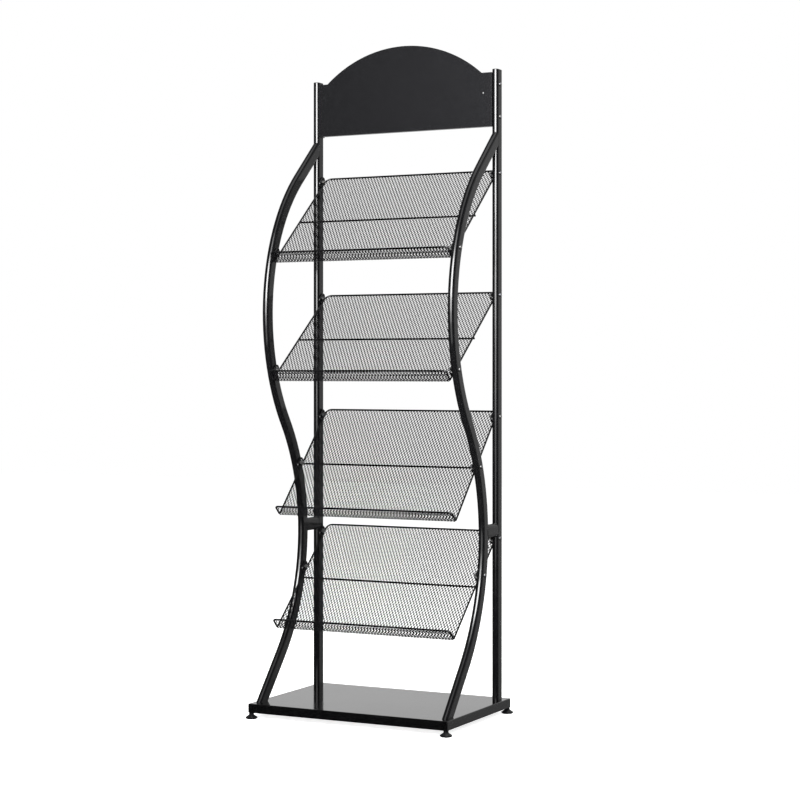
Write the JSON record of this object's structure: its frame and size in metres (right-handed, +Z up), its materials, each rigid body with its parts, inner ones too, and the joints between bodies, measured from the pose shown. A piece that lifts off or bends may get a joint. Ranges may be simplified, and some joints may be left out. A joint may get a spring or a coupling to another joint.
{
  "type": "newspaper rack",
  "caption": "Tall black steel newspaper rack with S-curved side tubes, sloping wire-mesh shelves with front lips, an arched header board and a flat base on levelling feet.",
  "frame": {"origin": "on the floor, under the middle of the rack", "axes": "+X to the rack's right as seen from the front, +Y back, +Z up"},
  "size_m": [0.4998, 0.3466, 1.5],
  "materials": {
    "frame_paint": "gloss black paint",
    "board_paint": "satin black paint",
    "wire_paint": "semi-gloss black paint",
    "mesh_paint": "satin black paint",
    "zinc": "bright zinc plating",
    "bare_steel": "turned steel",
    "cap_plastic": "moulded black plastic",
    "foot_plastic": "moulded black plastic"
  },
  "bodies": {
    "rack": {"upright_left": "frame_paint", "front_tube_left": "frame_paint", "tie_tube_left": "frame_paint", "upright_right": "frame_paint", "front_tube_right": "frame_paint", "tie_tube_right": "frame_paint", "upright_caps": "cap_plastic", "tube_plugs": "bare_steel", "base_tray": "board_paint", "base_washers": "zinc", "base_bolts": "zinc", "corner_gussets": "board_paint", "foot_nuts": "zinc", "header_board": "board_paint", "header_hem": "board_paint", "header_screws": "zinc", "header_nuts": "zinc", "shelf_1_frame": "wire_paint", "shelf_1_mid_wire": "wire_paint", "shelf_1_mesh": "mesh_paint", "shelf_1_eyes": "wire_paint", "shelf_1_screws": "zinc", "shelf_1_nuts": "zinc", "shelf_2_frame": "wire_paint", "shelf_2_mid_wire": "wire_paint", "shelf_2_mesh": "mesh_paint", "shelf_2_eyes": "wire_paint", "shelf_2_screws": "zinc", "shelf_2_nuts": "zinc", "shelf_3_frame": "wire_paint", "shelf_3_mid_wire": "wire_paint", "shelf_3_mesh": "mesh_paint", "shelf_3_eyes": "wire_paint", "shelf_3_screws": "zinc", "shelf_3_nuts": "zinc", "shelf_4_frame": "wire_paint", "shelf_4_mid_wire": "wire_paint", "shelf_4_mesh": "mesh_paint", "shelf_4_eyes": "wire_paint", "shelf_4_screws": "zinc", "shelf_4_nuts": "zinc"},
    "pad_front_left": {"foot_pad_front_left": "foot_plastic"},
    "stud_front_left": {"foot_stud_front_left": "zinc"},
    "pad_rear_left": {"foot_pad_rear_left": "foot_plastic"},
    "stud_rear_left": {"foot_stud_rear_left": "zinc"},
    "pad_front_right": {"foot_pad_front_right": "foot_plastic"},
    "stud_front_right": {"foot_stud_front_right": "zinc"},
    "pad_rear_right": {"foot_pad_rear_right": "foot_plastic"},
    "stud_rear_right": {"foot_stud_rear_right": "zinc"}
  },
  "joints": [
    {"name": "level_front_left", "type": "slide", "parent": "rack", "child": "pad_front_left", "axis": [0, 0, 1], "range_m": [-0.012, 0]},
    {"name": "screw_front_left", "type": "hinge", "parent": "pad_front_left", "child": "stud_front_left", "pos_m": [-0.2363, -0.1597, 0.02], "axis": [0, 0, 1], "range_deg": [-4320, 0]},
    {"name": "level_rear_left", "type": "slide", "parent": "rack", "child": "pad_rear_left", "axis": [0, 0, 1], "range_m": [-0.012, 0]},
    {"name": "screw_rear_left", "type": "hinge", "parent": "pad_rear_left", "child": "stud_rear_left", "pos_m": [-0.2363, 0.1597, 0.02], "axis": [0, 0, 1], "range_deg": [-4320, 0]},
    {"name": "level_front_right", "type": "slide", "parent": "rack", "child": "pad_front_right", "axis": [0, 0, 1], "range_m": [-0.012, 0]},
    {"name": "screw_front_right", "type": "hinge", "parent": "pad_front_right", "child": "stud_front_right", "pos_m": [0.2363, -0.1597, 0.02], "axis": [0, 0, 1], "range_deg": [-4320, 0]},
    {"name": "level_rear_right", "type": "slide", "parent": "rack", "child": "pad_rear_right", "axis": [0, 0, 1], "range_m": [-0.012, 0]},
    {"name": "screw_rear_right", "type": "hinge", "parent": "pad_rear_right", "child": "stud_rear_right", "pos_m": [0.2363, 0.1597, 0.02], "axis": [0, 0, 1], "range_deg": [-4320, 0]}
  ],
  "couplings": [
    {"joint": "screw_front_left", "follows": "level_front_left", "rad_per_m": 6283.2},
    {"joint": "screw_rear_left", "follows": "level_rear_left", "rad_per_m": 6283.2},
    {"joint": "screw_front_right", "follows": "level_front_right", "rad_per_m": 6283.2},
    {"joint": "screw_rear_right", "follows": "level_rear_right", "rad_per_m": 6283.2}
  ]
}
